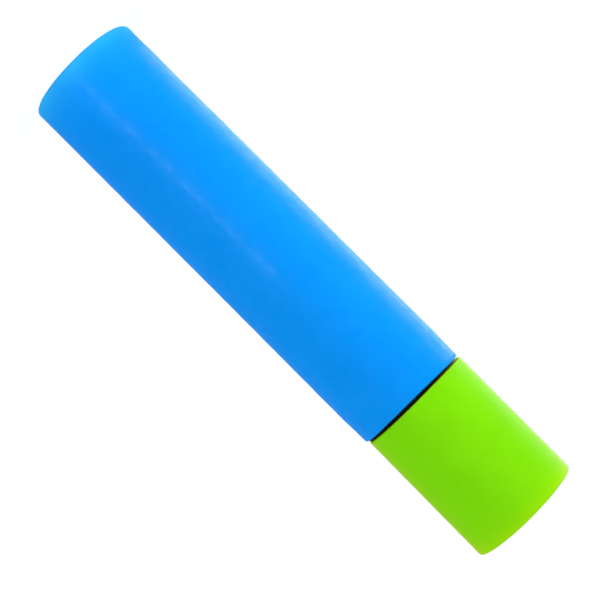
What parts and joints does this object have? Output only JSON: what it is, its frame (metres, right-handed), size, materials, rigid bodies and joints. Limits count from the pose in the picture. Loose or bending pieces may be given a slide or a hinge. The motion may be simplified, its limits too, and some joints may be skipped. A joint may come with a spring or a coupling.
{
  "type": "water squirter",
  "caption": "Hand-pumped water squirter: a foam-covered round barrel with a nozzle in its front end and a sliding plunger whose foam grip is drawn out to fill it and pushed in to squirt.",
  "frame": {"origin": "centre of the foam sleeve's front rim, the face that the part stands on", "axes": "+Z along the barrel from the nozzle to the grip; X and Y are any two directions across it"},
  "size_m": [0.06, 0.06, 0.302],
  "materials": {
    "blue_foam": "satin skin of closed-cell foam",
    "green_foam": "satin skin of closed-cell foam",
    "black_foam": "matt foam",
    "white_plastic": "satin moulded",
    "milky_plastic": "milky extruded",
    "black_rubber": "greased",
    "grey_rubber": "matt",
    "steel": "zinc plated"
  },
  "bodies": {
    "barrel": {"foam_sleeve": "blue_foam", "barrel_tube": "milky_plastic", "nozzle_cap": "white_plastic", "nozzle_seal": "black_rubber", "nozzle_cap_screws": "steel", "rear_collar": "white_plastic", "collar_screws": "steel", "bumper_ring": "black_foam"},
    "seal": {"piston_seal": "black_rubber"},
    "plunger": {"piston": "white_plastic", "piston_pin": "steel", "stop_washer": "grey_rubber", "plunger_rod": "white_plastic", "rod_end_plug": "white_plastic", "plug_pin": "steel", "core_tube": "milky_plastic", "grip_front_cap": "white_plastic", "grip_cap_screws": "steel", "grip_rear_cap": "white_plastic", "grip_screw": "steel", "foam_grip": "green_foam"}
  },
  "joints": [
    {"name": "plunger_slide", "type": "slide", "parent": "barrel", "child": "seal", "axis": [0, 0, 1], "range_m": [0, 0.1665]},
    {"name": "plunger_turn", "type": "hinge", "parent": "seal", "child": "plunger", "pos_m": [0, 0, 0.031], "axis": [0, 0, 1], "continuous": true}
  ]
}
